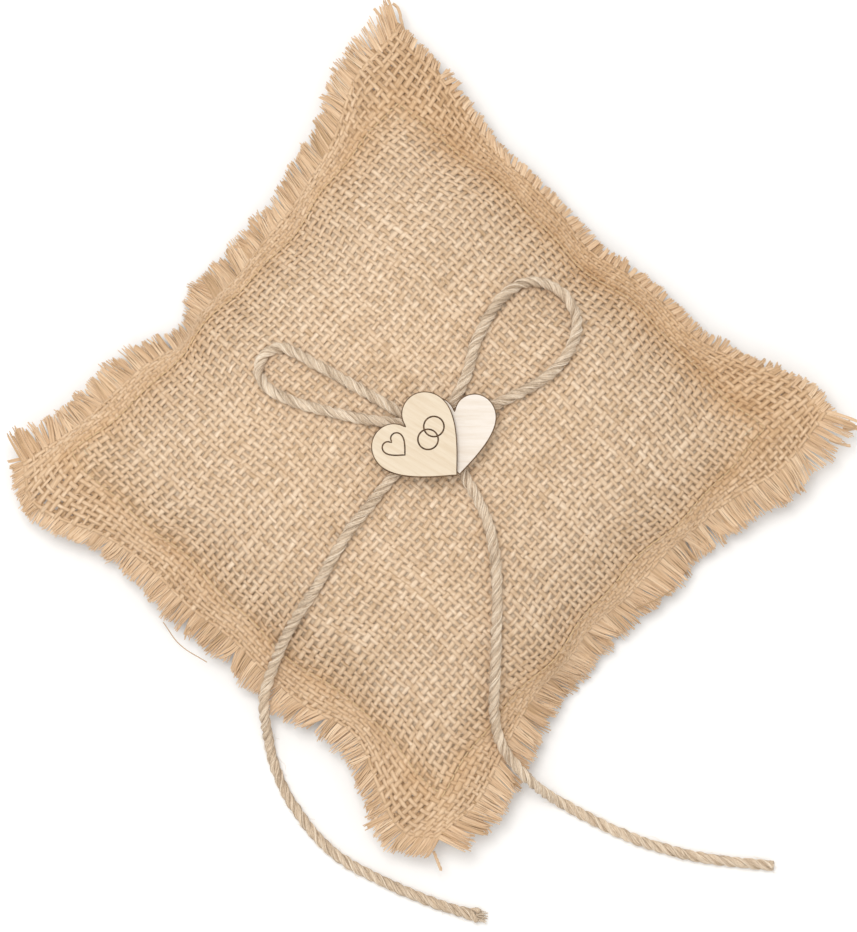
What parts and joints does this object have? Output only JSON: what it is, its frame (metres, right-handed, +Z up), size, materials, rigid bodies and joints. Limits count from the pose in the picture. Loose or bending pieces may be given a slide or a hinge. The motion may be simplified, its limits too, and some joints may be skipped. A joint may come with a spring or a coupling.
{
  "type": "ring bearer pillow",
  "caption": "Square frayed burlap ring cushion, lined and stuffed, with a jute twine bow and two thin wooden hearts glued at its middle.",
  "frame": {"origin": "middle of the cushion on the surface that it rests on", "axes": "+Z up out of the front face; X and Y along the cushion's sides; the twine tails leave over the -X and -Y sides"},
  "size_m": [0.2201, 0.2858, 0.0571],
  "materials": {
    "front_burlap": "loose plain-weave jute hessian, matt, natural tan, frayed edges",
    "back_burlap": "loose plain-weave jute hessian, matt, natural tan, frayed edges",
    "liner_cotton": "plain beige cotton",
    "polyester_fibre": "white loose fibre",
    "sewing_thread": "matt tan polyester thread",
    "liner_sewing_thread": "matt beige thread",
    "jute_twine": "hairy three-ply jute twine, matt, greyish beige",
    "plain_wood": "bare laser-cut basswood ply, very pale, browned cut edge",
    "engraved_wood": "bare laser-cut basswood ply, pale cream, burnt edge and engraving",
    "hot_glue": "set hot-melt glue, slightly cloudy, satin"
  },
  "bodies": {
    "root": {"front_panel": "front_burlap", "back_panel": "back_burlap", "liner_front": "liner_cotton", "liner_back": "liner_cotton", "fibre_filling": "polyester_fibre", "needle_thread": "sewing_thread", "bobbin_thread": "sewing_thread", "liner_thread": "liner_sewing_thread", "knot_glue": "hot_glue", "bow_knot": "jute_twine", "bow_loop_left": "jute_twine", "bow_loop_right": "jute_twine", "tail_left": "jute_twine", "tail_right": "jute_twine", "plain_heart_glue": "hot_glue", "plain_heart": "plain_wood", "engraved_heart_glue": "hot_glue", "engraved_heart": "engraved_wood"}
  },
  "joints": []
}
